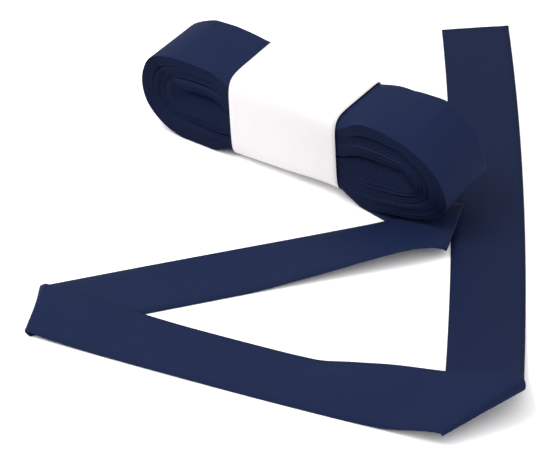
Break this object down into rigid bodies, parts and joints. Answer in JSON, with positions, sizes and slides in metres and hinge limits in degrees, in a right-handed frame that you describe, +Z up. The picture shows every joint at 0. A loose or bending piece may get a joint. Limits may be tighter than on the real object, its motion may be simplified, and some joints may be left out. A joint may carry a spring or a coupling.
{
  "type": "hank of grosgrain ribbon in a paper band",
  "caption": "Flat oval hank of navy grosgrain ribbon, held at its waist by a plain white paper band, with its loose end laid out beside it in folds.",
  "frame": {"origin": "middle of the box round the whole object, on the surface that it rests on", "axes": "+Z up, +X along the hank towards the end where the loose ribbon leaves it, +Y across the ribbon away from the front"},
  "size_m": [0.1766, 0.2252, 0.0333],
  "materials": {
    "ribbon": "navy grosgrain with fine cross ribs and a soft directional sheen",
    "paper": "smooth white paper, nearly matt, with a faint grain"
  },
  "bodies": {
    "root": {"hank": "ribbon", "band": "paper", "tail": "ribbon"}
  },
  "joints": []
}
